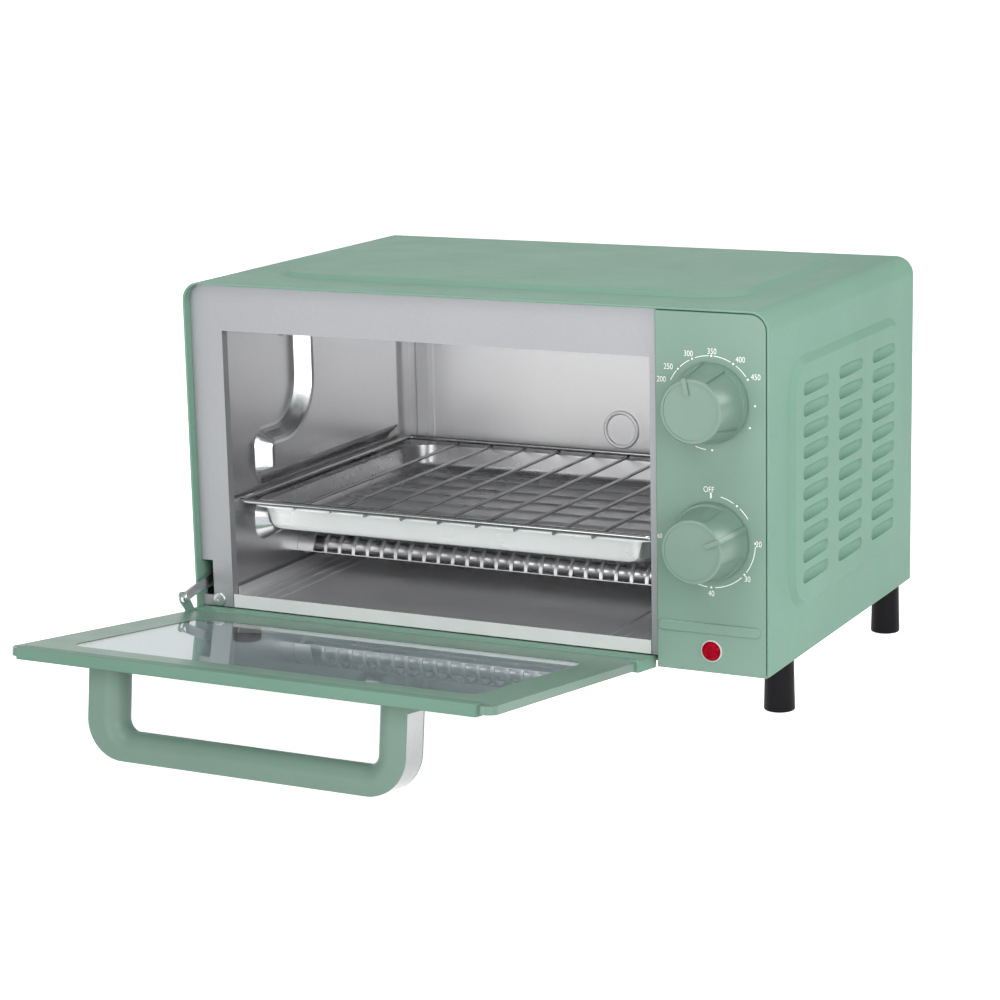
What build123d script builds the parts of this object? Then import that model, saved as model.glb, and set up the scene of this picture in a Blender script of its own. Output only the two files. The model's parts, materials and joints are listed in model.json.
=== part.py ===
from build123d import *
import math
import os

# Countertop toaster oven, millimetres. X runs right, Y runs back, +Z is up.
# The origin is on the plane under the feet, in the middle of the whole object with its door open.
# The door stands open at the angle at which its handle just clears the table.

# Housing
body_w = 335.0          # over the wrap's sides
body_d = 217.0          # front edge to rear edge of the wrap
body_h = 209.0          # table to the top sheet
foot_h = 27.0           # table to the underside of the housing
hinge_up = 0.5          # hinge axis above that underside
wrap_t = 1.2            # painted sheet
wrap_r = 10.0           # bend radius along the top edges
wrap_edge = 0.4         # rounding of the front edge
seam = 0.1              # gap between sheets that are screwed together
push_fit = 0.02         # clearance of a pushed-in piece

# Raised panel pressed into the top
top_rise = 2.0
top_slope = 4.5
top_side = 30.0         # from the wrap's sides
top_front = 33.0        # from the front edge
top_rear = 26.0
top_corner = 25.0

# Raised panel pressed into each side, with its sunk louvres
side_rise = 2.4
side_slope = 4.0
side_front = 26.5       # from the front edge
side_rear = 22.5
side_low = 24.5         # above the housing's underside
side_high = 28.0        # below the top sheet
side_corner = 20.0
louvre_edge = 4.0       # least flat face left round the louvres
louvre_len = 37.0
louvre_r = 3.4
louvre_out = 0.4        # louvre axis outside the raised face
louvre_wall = 0.9
louvre_tilt = 5.0       # deeper at the front end, degrees
slit_h = 1.0            # air slit along the louvre's upper wall
louvre_pitch_y = 51.5
louvre_pitch_z = 10.7

# Front plate and the oven's opening
plate_set = 5.1         # behind the wrap's front edge
plate_t = 1.0
open_left = 20.7        # from the wrap's left side
open_right = 5.1        # from the control panel
open_low = 11.0         # above the housing's underside
open_top = 26.0         # below the top sheet
open_lip = 4.0          # turned-in edge of the opening
plate_low = 3.2         # plate's lower edge above the hinge axis
slot_w = 7.2            # slot for the door link, from the plate's left edge
slot_z0 = 9.0           # above the hinge axis
slot_z1 = 28.5

# Oven cavity
cavity_gap = 5.0        # back wall before the wrap's rear edge
cavity_t = 0.8
wall_gap = 2.0          # side walls stand this far outside the opening
ceil_gap = 5.0          # ceiling above the opening
guide_d = 8.5           # pressed rack guide
guide_r = 11.0
guide_bend = 23.0       # inner corner over its front foot
guide_w = 9.5           # width of its rounded edge
guide_bands = 6
guide_low = 2.5         # above the rack
guide_step = 32.5       # height of its front foot
guide_front = 28.4      # behind the front plate's face
guide_mid = 73.0        # front edge of its upper part
guide_rear = 20.5       # before the back wall
guide_top = 6.0         # below the ceiling
bulge_d = 8.0           # pressed pan rest
bulge_len = 30.0
bulge_h = 24.0
bulge_front = 43.4      # middle, behind the front plate's face
bulge_rear = 33.5       # before the back wall
rib_w = 12.0            # upright ribs at the back corners
rib_d = 3.0
rib_in = 5.0
ring_r = 10.2           # ring pressed into the back wall
ring_bead = 1.3
ring_x = 14.5           # right of the cavity's middle
ring_z = 63.0           # above the opening's lower edge

# Heaters
heater_r = 4.0
upper_front = 63.4      # behind the front plate's face
upper_rear = 63.5       # before the back wall
lower_front = 83.4
lower_rear = 57.5
heater_over = 9.0       # beyond each side wall
upper_drop = 11.0       # below the ceiling
lower_rise = 11.1       # above the opening's lower edge
bush_r = 6.5
bush_len = 6.0
bush_flange = 2.0
guard_r = 12.0
guard_t = 0.9
guard_end = 9.5         # least plain length at each end
guard_sink = 2.5        # arch axis below the heater's axis
guard_pitch = 9.0
guard_slot = 7.0

# Rack, pan and crumb tray
rack_h = 51.0           # frame wire above the opening's lower edge
rack_wire = 1.5
rung_r = 1.0
rack_weld = 0.4         # rungs sink this far into the frame wire
rack_side = 0.4         # inside the opening's edges
rack_front = 6.0        # behind the front plate's face
rack_rear = 7.0         # in front of the back wall
rack_corner = 4.0
rungs = 9
rung_pitch = 22.3
rest_gap = 0.3
pan_t = 0.8
pan_depth = 14.0
pan_side = 1.2          # inside the opening's edges
pan_front = 13.4
pan_rear = 8.5
pan_rim = 6.0
pan_flare = 2.5
pan_corner = 15.0
pan_bend = 4.0          # inside radius round the floor
pan_ribs = 9
pan_rib_h = 1.0
pan_rib_w = 5.0
tray_t = 0.8
tray_side = 0.5
tray_rear = 3.0
tray_wall = 5.0
tray_drop = 1.0         # floor below the lip's top edge
tray_beads = 3          # pressed along each side
tray_bead = 0.8
tray_bead_in = 9.0
tray_bead_step = 8.0
runner_w = 5.5

# Control panel
panel_w = 58.5
panel_gap = 0.5         # to the wrap
panel_t = 1.6
panel_drop = 1.0        # below the wrap's lower edge
panel_edge = 0.8
ridge_h = 5.5
ridge_out = 0.9
ridge_z = 21.8          # above the wrap's lower edge
ridge_end = 2.7
dial_x = 29.6           # from the panel's left edge
upper_dial = 46.2       # below the top sheet
lower_dial = 66.5       # above the wrap's lower edge
lamp_z = 10.4

# Knobs, shafts and what they turn
knob_r = 20.0
knob_face_r = 15.9
knob_len = 24.2
knob_gap = 1.2
knob_wall = 2.6
knob_skirt = 3.0
knob_grip = 1.6         # depth of the two grip recesses
knob_grip_half = 50.0   # half angle of each recess
knob_rim = 1.6
knob_face_sink = 0.5
knob_edge = 0.7
pointer_w = 2.4
pointer_out = 0.7
pointer_in = 8.0
upper_turn = 12.0       # pointer left of upright
lower_turn = 66.0       # pointer right of upright
hub_r = 6.0
shaft_r = 3.0
shaft_seat = 14.0
shaft_run = 0.05        # running clearance in the bores
shaft_hole = 0.6        # clearance through the panel
thermo_w = 36.0
thermo_d = 26.0
timer_w = 46.0
timer_d = 32.0
lamp_r = 5.0
lamp_ring = 0.7
lamp_dome = 2.0
lamp_len = 20.0

# Base, back and feet
base_t = 1.0
base_front = 8.0        # behind the wrap's front edge
base_flange = 12.0
back_t = 1.0
back_set = 1.0          # inside the wrap's rear edge
vent_rows = 6
vent_len = 70.0
vent_h = 3.0
vent_pitch = 9.0
foot_r = 8.0
foot_top = 7.4
foot_in = 8.5           # foot's axis from the wrap's side
foot_front = 36.0       # from the wrap's front edge
foot_rear = 17.5
foot_screw = 2.0
foot_head = 4.2
foot_head_h = 2.4
foot_bore = 9.0         # counterbore depth
screw_r = 1.5
screw_head = 3.2
screw_head_h = 0.9
screw_len = 2.8
screw_in = 12.0         # from the back cover's edges
gland_r = 8.0
gland_bore = 3.4
gland_out = 3.5
gland_x = 28.0          # from the wrap's right side
gland_z = 30.0

# Door
door_t = 6.0            # over the rails
door_gap = 0.6          # from the front plate when shut
door_left = 1.5         # from the wrap
door_right = 3.2        # from the panel
door_head = 2.3         # below the wrap's underside
door_tail = 4.5         # below the hinge axis
rail_lip = 8.5          # hinge rail's edge above the axis
cap_lip = 17.7          # hinge rail's end cap
cap_w = 3.0
cap_t = 1.2
top_lip = 8.0           # top rail's lip inside
top_lip_out = 26.0      # and outside, behind the handle
top_rail_in = 8.5       # rail's ends from the door's sides
top_rail_r = 0.75
glass_t = 4.0
glass_in = 2.5          # glass edge behind the rail's front
glass_r = 6.0
print_t = 0.2           # enamel border on the glass
glass_fit = 0.05
window_side = 21.55     # from the door's sides
window_low = 35.0       # above the hinge axis
window_top = 26.0       # below the door's top
window_r = 8.0

# Hinge lugs, pins and the stud beside the link
lug_in = 34.05          # from the door's sides
lug_t = 2.0
lug_w = 3.0
lug_r = 1.9
lug_side = 0.6
lug_reach = 1.9         # lug's lower bar
lug_back = 4.5
pin_r = 1.1
pin_len = 16.0
pin_run = 0.05
skin = 0.7              # rail's inner lip left over the lug notch
swing = 0.5             # room round the rail's swing
stud_x = 12.0           # from the wrap's left side
stud_z = 7.0            # above the hinge axis
stud_r = 3.8
stud_room = 0.4         # left to the glass when the door is shut
stud_clear = 0.9

# Door handle
handle_w = 175.0
handle_out = 44.4
handle_leg = 17.0
handle_bar = 13.5
handle_d = 17.4
handle_tip = 6.5        # behind the rail's front
handle_r = 20.0
handle_ri = 6.0
handle_edge = 8.0
handle_clear = 0.4      # above the table when the door is open
trim_t = 1.2
trim_in = 0.9           # trim narrower than the handle on each side
trim_foot = 4.0         # bare foot above the trim

# Door link
link_u = 20.6           # pivot above the hinge axis, along the door
link_n = 10.4           # pivot behind the hinge axis, square to the door
link_plate = 1.2
link_low = 10.0         # bracket's slant starts this far above the axis
link_room = 0.4
link_t = 1.5
link_h = 5.0
link_len = 60.0
link_rise = 11.0        # arm's slope when the door is open
rivet_r = 1.5
rivet_head = 2.5
rivet_head_h = 1.2
rivet_tail_h = 0.8
link_run = 0.05

# Derived heights, and the tilt at which the handle's lower edge just clears the table
zb = foot_h
zt = body_h
in_z = zt - wrap_t
oz0 = zb + open_low
oz1 = zt - open_top
ceil_z = oz1 + ceil_gap
base_top = zb + base_t
hinge_z = foot_h + hinge_up
half_t = door_t / 2
tail_r = math.hypot(door_tail, half_t)
door_top = in_z - door_head - hinge_z
grip_up = door_top - handle_tip - handle_d
grip_out = half_t + handle_out
grip_reach = math.hypot(grip_up, grip_out)
grip_drop = math.asin((hinge_z - handle_clear) / grip_reach)
tilt = math.atan2(grip_out, grip_up) - grip_drop
open_turn = 90 - math.degrees(tilt)

# Derived depths, from the open door's tip to the cord gland
tip_lost = top_rail_r * (math.cos(tilt) + math.sin(tilt) - 1)
open_reach = door_top * math.cos(tilt) + half_t * math.sin(tilt) - tip_lost
hinge_back = plate_set - door_gap - half_t
front_reach = open_reach - hinge_back
rear_reach = gland_out - back_set
yf = (front_reach - body_d - rear_reach) / 2
yb = yf + body_d
plate_y = yf + plate_set
plate_back = plate_y + plate_t
cav_back = yb - cavity_gap
hinge_y = yf + hinge_back
stud_out = door_gap + (door_t - glass_t) / 2 - print_t - stud_room

# Derived widths
hw = body_w / 2
in_x = hw - wrap_t
panel_x1 = in_x - panel_gap
panel_x0 = panel_x1 - panel_w
ox0 = -hw + open_left
ox1 = panel_x0 - open_right
cav_x = (ox0 + ox1) / 2
wall_x = (ox1 - ox0) / 2 + wall_gap
door_x0 = -in_x + door_left
door_x1 = panel_x0 - door_right
door_x = (door_x0 + door_x1) / 2
lug_set = (door_x0 + lug_in, door_x1 - lug_in)


def block(x0, x1, y0, y1, z0, z1):
    return Pos((x0 + x1) / 2, (y0 + y1) / 2, (z0 + z1) / 2) * Box(x1 - x0, y1 - y0, z1 - z0)


def rod_x(x0, x1, y, z, r):
    return Pos((x0 + x1) / 2, y, z) * Rot(0, 90, 0) * Cylinder(r, x1 - x0)


def rod_y(y0, y1, x, z, r):
    return Pos(x, (y0 + y1) / 2, z) * Rot(90, 0, 0) * Cylinder(r, y1 - y0)


def rod_z(z0, z1, x, y, r):
    return Pos(x, y, (z0 + z1) / 2) * Cylinder(r, z1 - z0)


def rect(a0, a1, b0, b1, r=0.0):
    shape = Pos((a0 + a1) / 2, (b0 + b1) / 2) * Rectangle(a1 - a0, b1 - b0)
    if r > 0:
        shape = fillet(shape.vertices(), r)
    return shape


def along_x(sketch, x0, x1):
    return Pos(x0, 0, 0) * extrude(Plane.YZ * sketch, x1 - x0)


def along_y(sketch, y0, y1):
    return Pos(0, y1, 0) * extrude(Plane.XZ * sketch, y1 - y0)


def along_z(sketch, z0, z1):
    return Pos(0, 0, z0) * extrude(sketch, z1 - z0)


def pressed(a0, a1, b0, b1, r, depth, slope, over):
    # Tapered rounded pad: full size at height 0, smaller by the slope at the given depth
    grow = slope * over / depth
    wide = rect(a0 - grow, a1 + grow, b0 - grow, b1 + grow, r + grow)
    low = rect(a0 + slope, a1 - slope, b0 + slope, b1 - slope, r - slope)
    return loft([Pos(0, 0, over) * wide, Pos(0, 0, -depth) * low], ruled=True)


def mirrored(shape):
    # Copy on the other side of the cavity's middle plane
    return mirror(shape, Plane((cav_x, 0, 0), x_dir=(0, 1, 0), z_dir=(1, 0, 0)))


def opened(shape):
    # Swing a door piece from its shut place to the open rest place
    return shape.rotate(Axis((0, hinge_y, hinge_z), (1, 0, 0)), open_turn)


def save(name, shape):
    os.makedirs("parts", exist_ok=True)
    export_step(shape, "parts/" + name + ".step")


# Wrap: one painted sheet over the top and both sides
wrap_out = fillet(rect(-hw, hw, zb, zt).vertices().group_by(Axis.Y)[-1], wrap_r)
wrap_in = fillet(rect(-in_x, in_x, zb - 1, in_z).vertices().group_by(Axis.Y)[-1], wrap_r - wrap_t)
wrap = along_y(wrap_out - wrap_in, yf, yb)
front_edges = wrap.faces().sort_by(Axis.Y)[0].edges()
wrap = fillet([edge for edge in front_edges if edge.length > 2 * wrap_t], wrap_edge)
top_pad = pressed(-hw + top_side, hw - top_side, yf + top_front, yb - top_rear, top_corner,
                  top_rise, top_slope, wrap_t / 2)
top_pad = Pos(0, 0, zt) * mirror(top_pad, Plane.XY)
wrap = wrap + top_pad - Pos(0, 0, -wrap_t) * top_pad

sy0 = yf + side_front
sy1 = yb - side_rear
sz0 = zb + side_low
sz1 = zt - side_high
side_pad = pressed(sy0, sy1, sz0, sz1, side_corner, side_rise, side_slope, wrap_t / 2)
side_pad = Pos(hw, 0, 0) * (Plane.YZ * mirror(side_pad, Plane.XY))


def capsule(radius):
    # Rod with ball ends, lying along Y with its front end turned inwards
    straight = louvre_len - 2 * louvre_r
    shape = Rot(90, 0, 0) * Cylinder(radius, straight)
    shape = shape + Pos(0, -straight / 2, 0) * Sphere(radius)
    shape = shape + Pos(0, straight / 2, 0) * Sphere(radius)
    return Rot(0, 0, -louvre_tilt) * shape


deep = louvre_r + louvre_wall
inside = block(-2 * deep, -louvre_out - wrap_t / 2, -louvre_len, louvre_len, -2 * deep, 2 * deep)
shell = capsule(deep) & inside
scoop = capsule(louvre_r)
slit_z = louvre_r * 0.55
slit_y = louvre_len / 2 - 2 * louvre_r
slit = block(-2 * deep, -louvre_out - 2 * wrap_t, -slit_y, slit_y, slit_z, slit_z + slit_h)
room_y = sy1 - sy0 - 2 * side_slope - 2 * louvre_edge
room_z = sz1 - sz0 - 2 * side_slope - 2 * louvre_edge
louvre_cols = int((room_y - louvre_len) / louvre_pitch_y) + 1
louvre_rows = int((room_z - 2 * louvre_r) / louvre_pitch_z) + 1
spots = []
for col in range(louvre_cols):
    for row in range(louvre_rows):
        spot_y = (sy0 + sy1) / 2 + (col - (louvre_cols - 1) / 2) * louvre_pitch_y
        spot_z = (sz0 + sz1) / 2 + (row - (louvre_rows - 1) / 2) * louvre_pitch_z
        spots.append(Pos(hw + side_rise + louvre_out, spot_y, spot_z))
half = wrap & block(0, 2 * hw, yf - 1, yb + 1, 0, 2 * zt)
half = half + side_pad - Pos(-wrap_t, 0, 0) * side_pad
half = half.fuse(*[spot * shell for spot in spots])
half = half.cut(*[spot * scoop for spot in spots])
half = half.cut(*[spot * slit for spot in spots])
wrap = half + mirror(half, Plane.YZ)
save("outer_wrap", wrap)

# Front plate round the opening, with turned-in edges and the link's slot
plate = rect(-in_x + seam, panel_x0 - seam, hinge_z + plate_low, in_z - seam)
corner = plate.vertices().group_by(Axis.Y)[-1].sort_by(Axis.X)[0]
plate = fillet(corner, wrap_r - wrap_t - seam)
plate = plate - rect(ox0, ox1, hinge_z, oz1)
plate = plate - rect(-in_x, -in_x + seam + slot_w, hinge_z + slot_z0, hinge_z + slot_z1)
plate = along_y(plate, plate_y, plate_back)
hem = rect(ox0 - plate_t, ox1 + plate_t, hinge_z + plate_low, oz1 + plate_t)
hem = hem - rect(ox0, ox1, hinge_z, oz1)
plate = plate + along_y(hem, plate_y + plate_t / 2, plate_back + open_lip)
save("front_plate", plate)

# Cavity: two pressed side walls, ceiling and back wall
wall_y0 = plate_back + open_lip + seam
wall_in = cav_x - wall_x
wall_out = wall_in - cavity_t
rack_z = oz0 + rack_h
foot_z = rack_z + guide_low
step_z = foot_z + guide_step
roof_z = ceil_z - guide_top
guide_y0 = plate_y + guide_front
guide_y1 = plate_y + guide_mid
guide_y2 = cav_back - guide_rear
guide = Polyline((guide_y2, roof_z), (guide_y2, foot_z), (guide_y0, foot_z), (guide_y0, step_z),
                 (guide_y1, step_z), (guide_y1, roof_z), close=True)
guide = make_face(guide)
guide_wide = fillet(guide.vertices().sort_by_distance((guide_y1, step_z, 0))[:1], guide_bend)
guide_ends = [(guide_y2, roof_z), (guide_y2, foot_z), (guide_y0, foot_z), (guide_y0, step_z)]
guide_ends.append((guide_y1, roof_z))
corners = [guide_wide.vertices().sort_by_distance((y, z, 0))[0] for y, z in guide_ends]
guide_wide = fillet(corners, guide_r)
guide_levels = [guide_wide]
for number in range(1, guide_bands + 1):
    part = number / guide_bands
    rise = guide_d * (1 - math.cos(math.pi * part)) / 2
    guide_levels.append(Pos(0, 0, rise) * offset(guide_wide, -guide_w * part))
boss = loft(guide_levels, ruled=True)
boss = Pos(wall_in, 0, 0) * (Plane.YZ * boss)
pan_z = rack_z - rack_wire - 2 * rung_r + rack_weld - rest_gap
rest_z = pan_z - pan_t - seam
bulge = pressed(-bulge_len / 2, bulge_len / 2, -bulge_h, 0, bulge_len / 3, bulge_d, bulge_len / 6, 0.001)
bulge = Plane.YZ * mirror(bulge, Plane.XY)
wall = block(wall_out, wall_in, wall_y0, cav_back, base_top, ceil_z)
pads = [boss]
pads.append(Pos(wall_in, plate_y + bulge_front, rest_z) * bulge)
pads.append(Pos(wall_in, cav_back - bulge_rear, rest_z) * bulge)
wall = wall.fuse(*pads)
wall = wall.cut(*[Pos(-cavity_t, 0, 0) * pad for pad in pads])
tray_z = oz0 - tray_drop - tray_t
runner_z = tray_z - seam
wall = wall + block(wall_out, wall_in + runner_w, wall_y0, cav_back, runner_z - cavity_t, runner_z)
upper_z = ceil_z - upper_drop
lower_z = oz0 + lower_rise
lower_y0 = plate_y + lower_front
lower_y1 = cav_back - lower_rear
heater_set = [(plate_y + upper_front, upper_z), (cav_back - upper_rear, upper_z)]
heater_set = heater_set + [(lower_y0, lower_z), (lower_y1, lower_z)]
for y, z in heater_set:
    wall = wall - rod_x(wall_out - 1, wall_in + guide_d + 1, y, z, bush_r + seam)
save("cavity_left_wall", wall)
save("cavity_right_wall", mirrored(wall))

wall_end = cav_x + wall_x + cavity_t
ceiling = block(wall_out, wall_end, wall_y0, cav_back, ceil_z, ceil_z + cavity_t)
ceiling = ceiling + block(wall_out, wall_end, wall_y0, wall_y0 + cavity_t, ceil_z, in_z - 3 * wrap_t)
save("cavity_ceiling", ceiling)

back = block(wall_out, wall_end, cav_back, cav_back + cavity_t, base_top, ceil_z + cavity_t)
rib_x0 = wall_in + rib_in
rib = rect(rib_x0, rib_x0 + rib_w, -rib_d, 0)
rib = chamfer(rib.vertices().group_by(Axis.Y)[0], rib_d * 0.7)
rib = Pos(0, cav_back, 0) * along_z(rib, tray_z + tray_wall + 2 * tray_t, ceil_z)
back = back + rib + mirrored(rib)
bead = Pos(cav_x + ring_x, cav_back, oz0 + ring_z) * Rot(90, 0, 0) * Torus(ring_r, ring_bead)
bead = bead & block(-hw, hw, cav_back - 2 * ring_bead, cav_back + cavity_t / 2, zb, zt)
back = back + bead
save("cavity_back", back)

# Heaters, their bushes and the slotted guards over the lower pair
tubes = []
bushes = []
for y, z in heater_set:
    tubes.append(rod_x(wall_out - heater_over, wall_end + heater_over, y, z, heater_r))
    bush = rod_x(wall_out - bush_len, wall_out - push_fit, y, z, bush_r + bush_flange)
    bush = bush + rod_x(wall_out - bush_len, wall_in, y, z, bush_r)
    bush = bush - rod_x(wall_out - 2 * bush_len, wall_in + 1, y, z, heater_r + push_fit)
    bushes.append(bush)
    bushes.append(mirrored(bush))
save("upper_heaters", Compound(children=tubes[:2]))
save("lower_heaters", Compound(children=tubes[2:]))
save("heater_bushes", Compound(children=bushes))

guard_z = lower_z - guard_sink


def guard(y):
    # Half-round sheet from wall to wall with two rows of slots
    arch = Circle(guard_r) - Circle(guard_r - guard_t)
    arch = arch & rect(-guard_r, guard_r, 0, guard_r)
    reach = wall_x - seam
    shape = along_x(Pos(y, guard_z) * arch, cav_x - reach, cav_x + reach)
    count = int(2 * (wall_x - guard_end) / guard_pitch)
    cuts = []
    for number in range(count):
        x = cav_x + (number - (count - 1) / 2) * guard_pitch
        for turn in (-50, 50):
            cut = Pos(0, 0, guard_r) * Box(guard_slot, guard_r * 1.23, guard_r)
            cuts.append(Pos(x, y, guard_z) * Rot(turn, 0, 0) * cut)
    return shape.cut(*cuts)


save("heater_guards", Compound(children=[guard(lower_y0), guard(lower_y1)]))

# Wire rack: a closed frame wire with rungs welded under it
rx0 = ox0 + rack_side + rack_wire
rx1 = ox1 - rack_side - rack_wire
ry0 = plate_y + rack_front + rack_wire
ry1 = cav_back - rack_rear - rack_wire
frame_path = Pos(0, 0, rack_z) * fillet(rect(rx0, rx1, ry0, ry1).vertices(), rack_corner)
frame_wire = frame_path.wire()
start = frame_wire @ 0
frame_plane = Plane(start, z_dir=frame_wire % 0)
rack = sweep(frame_plane * Circle(rack_wire), path=frame_wire)
rung_z = rack_z - rack_wire - rung_r + rack_weld
rung_set = []
for number in range(rungs):
    x = (rx0 + rx1) / 2 + (number - (rungs - 1) / 2) * rung_pitch
    rung_set.append(rod_y(ry0 - rack_wire / 2, ry1 + rack_wire / 2, x, rung_z, rung_r))
rack = rack.fuse(*rung_set)
save("wire_rack", rack)

# Bake pan hanging by its rim on the wall rests, under the rack
bx0 = ox0 + pan_side
bx1 = ox1 - pan_side
by0 = plate_y + pan_front
by1 = cav_back - pan_rear
inner = rect(bx0 + pan_rim, bx1 - pan_rim, by0 + pan_rim / 3, by1 - pan_rim / 3, pan_corner)
bottom = offset(inner, -pan_flare)
well_out = loft([Pos(0, 0, pan_z) * offset(inner, pan_t),
                 Pos(0, 0, pan_z - pan_depth) * offset(bottom, pan_t)], ruled=True)
well_out = fillet(well_out.edges().group_by(Axis.Z)[0], pan_bend + pan_t)
rim = along_z(rect(bx0, bx1, by0, by1, pan_corner), pan_z - pan_t, pan_z)
well_in = loft([Pos(0, 0, pan_z + pan_t) * offset(inner, pan_flare * pan_t / pan_depth),
                Pos(0, 0, pan_z - pan_depth + pan_t) * offset(bottom, pan_flare * pan_t / pan_depth)],
               ruled=True)
well_in = fillet(well_in.edges().group_by(Axis.Z)[0], pan_bend)
pan = rim + well_out - well_in
floor_z = pan_z - pan_depth + pan_t
rib_y0 = by0 + pan_rim + 2 * pan_flare
rib_y1 = by1 - pan_rim - 2 * pan_flare
rib_step = (rib_y1 - rib_y0) / (pan_ribs - 1)
rib_x = (bx1 - bx0) / 2 - pan_rim - 2 * pan_flare - pan_rib_w
ribs = []
for number in range(pan_ribs):
    y = rib_y0 + number * rib_step
    crest = rect(y - pan_rib_w / 2, y + pan_rib_w / 2, -pan_t / 2, pan_rib_h)
    crest = chamfer(crest.vertices().group_by(Axis.Y)[-1], pan_rib_h * 0.9)
    ribs.append(Pos(0, 0, floor_z) * along_x(crest, cav_x - rib_x, cav_x + rib_x))
pan = pan.fuse(*ribs)
save("bake_pan", pan)

# Crumb tray: floor, side walls and the front lip under the opening
tx0 = ox0 + tray_side
tx1 = ox1 - tray_side
ty1 = cav_back - tray_rear
lip_low = hinge_z + plate_low + seam
tray = block(tx0, tx1, plate_y, ty1, tray_z, tray_z + tray_t)
tray = tray + block(tx0, tx1, plate_y, plate_y + tray_t, lip_low, oz0)
tray = tray + block(tx0, tx0 + tray_t, plate_back + open_lip, ty1, tray_z, tray_z + tray_wall)
tray = tray + block(tx1 - tray_t, tx1, plate_back + open_lip, ty1, tray_z, tray_z + tray_wall)
tray = tray + block(tx0, tx1, ty1 - tray_t, ty1, tray_z, tray_z + tray_wall)
beads = []
for number in range(tray_beads):
    x = tx0 + tray_bead_in + number * tray_bead_step
    bead = rod_y(plate_y + tray_t / 2, ty1 - tray_t / 2, x, tray_z + tray_t, tray_bead)
    bead = bead & block(tx0, tx1, plate_y, ty1, tray_z + tray_t / 2, oz0 + tray_wall)
    beads.append(bead)
    beads.append(mirrored(bead))
tray = tray.fuse(*beads)
save("crumb_tray", tray)

# Base plate, back cover and their screws
foot_x = hw - foot_in
foot_spots = []
for x in (-foot_x, foot_x):
    for y in (yf + foot_front, yb - foot_rear):
        foot_spots.append((x, y))
base_x = in_x - seam
cover_y = yb - back_set - back_t
base = block(-base_x, base_x, yf + base_front, cover_y - seam, zb, base_top)
base = base + block(-base_x, -base_x + base_t, yf + base_front, cover_y - seam, zb, zb + base_flange)
base = base + block(base_x - base_t, base_x, yf + base_front, cover_y - seam, zb, zb + base_flange)
for x, y in foot_spots:
    base = base - rod_z(zb - 1, base_top + 1, x, y, foot_screw)
save("base_plate", base)

cover = rect(-base_x, base_x, zb + seam, in_z - seam)
cover = fillet(cover.vertices().group_by(Axis.Y)[-1], wrap_r - wrap_t - seam)
cover = along_y(cover, cover_y, cover_y + back_t)
cover_mid = (zb + in_z) / 2
vents = []
for row in range(vent_rows):
    level = cover_mid + (row - (vent_rows - 1) / 2) * vent_pitch
    slot = Pos(cav_x, level) * SlotOverall(vent_len, vent_h)
    vents.append(along_y(slot, cover_y - 1, cover_y + back_t + 1))
gx = hw - gland_x
gz = zb + gland_z
vents.append(rod_y(cover_y - 1, yb, gx, gz, gland_r - 1))
screw_spots = []
for x in (-base_x + screw_in, cav_x, base_x - screw_in):
    for z in (zb + screw_in, in_z - screw_in):
        screw_spots.append((x, z))
for x, z in screw_spots:
    vents.append(rod_y(cover_y - 1, yb, x, z, screw_r))
cover = cover.cut(*vents)
save("back_cover", cover)

screws = []
for x, z in screw_spots:
    shank = rod_y(cover_y + back_t - screw_len, cover_y + back_t, x, z, screw_r)
    head = rod_y(cover_y + back_t, cover_y + back_t + screw_head_h, x, z, screw_head)
    cross = block(x - screw_head, x + screw_head, cover_y + back_t + screw_head_h / 2, yb,
                  z - screw_r / 4, z + screw_r / 4)
    screws.append(shank + head - cross)
save("back_screws", Compound(children=screws))

gland = rod_y(cover_y + back_t, cover_y + back_t + gland_out, gx, gz, gland_r)
gland = fillet(gland.edges().group_by(Axis.Y)[-1], gland_out / 4)
gland = gland + rod_y(cover_y - back_t, cover_y + back_t, gx, gz, gland_r - 1)
gland = gland - rod_y(cover_y - 2 * back_t, cover_y + 2 * back_t + gland_out, gx, gz, gland_bore)
save("cord_gland", gland)

# Feet with the screws that hold them to the base plate
feet = []
foot_screws = []
for x, y in foot_spots:
    foot = Pos(x, y, zb / 2) * Cone(foot_r, foot_top, zb)
    foot = fillet(foot.edges().group_by(Axis.Z)[0], foot_r / 10)
    foot = foot - rod_z(-1, foot_bore, x, y, foot_head + rest_gap)
    foot = foot - rod_z(0, zb + 1, x, y, foot_screw)
    feet.append(foot)
    shank = rod_z(foot_bore, base_top + 2 * base_t, x, y, foot_screw)
    head = rod_z(foot_bore - foot_head_h, foot_bore, x, y, foot_head)
    foot_screws.append(shank + head)
save("feet", Compound(children=feet))
save("foot_screws", Compound(children=foot_screws))

# Control panel: a shallow tray with a pressed ridge, two shaft holes and the lamp hole
panel_z0 = zb - panel_drop
panel_z1 = in_z - panel_gap
panel_r = wrap_r - wrap_t - panel_gap
face = rect(panel_x0, panel_x1, panel_z0, panel_z1)
corner = face.vertices().group_by(Axis.Y)[-1].sort_by(Axis.X)[-1]
face = fillet(corner, panel_r)
panel = along_y(face, yf, plate_back)
panel = fillet(panel.faces().sort_by(Axis.Y)[0].edges(), panel_edge)
hollow = offset(face, -panel_t)
panel = panel - along_y(hollow, yf + panel_t, plate_back + 1)
ridge_mid = zb + ridge_z
ridge = rect(panel_x0 + panel_edge, panel_x1 - ridge_end, ridge_mid - ridge_h / 2,
             ridge_mid + ridge_h / 2, ridge_h / 2 - panel_edge / 4)
ridge = along_y(ridge, yf - ridge_out, yf + panel_t / 2)
ridge = fillet(ridge.faces().sort_by(Axis.Y)[0].edges(), ridge_out * 0.8)
panel = panel + ridge
dx = panel_x0 + dial_x
upper_dz = zt - upper_dial
lower_dz = zb + lower_dial
lamp_dz = zb + lamp_z
for level in (upper_dz, lower_dz):
    panel = panel - rod_y(yf - 1, yf + panel_t + 1, dx, level, shaft_r + shaft_hole)
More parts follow.
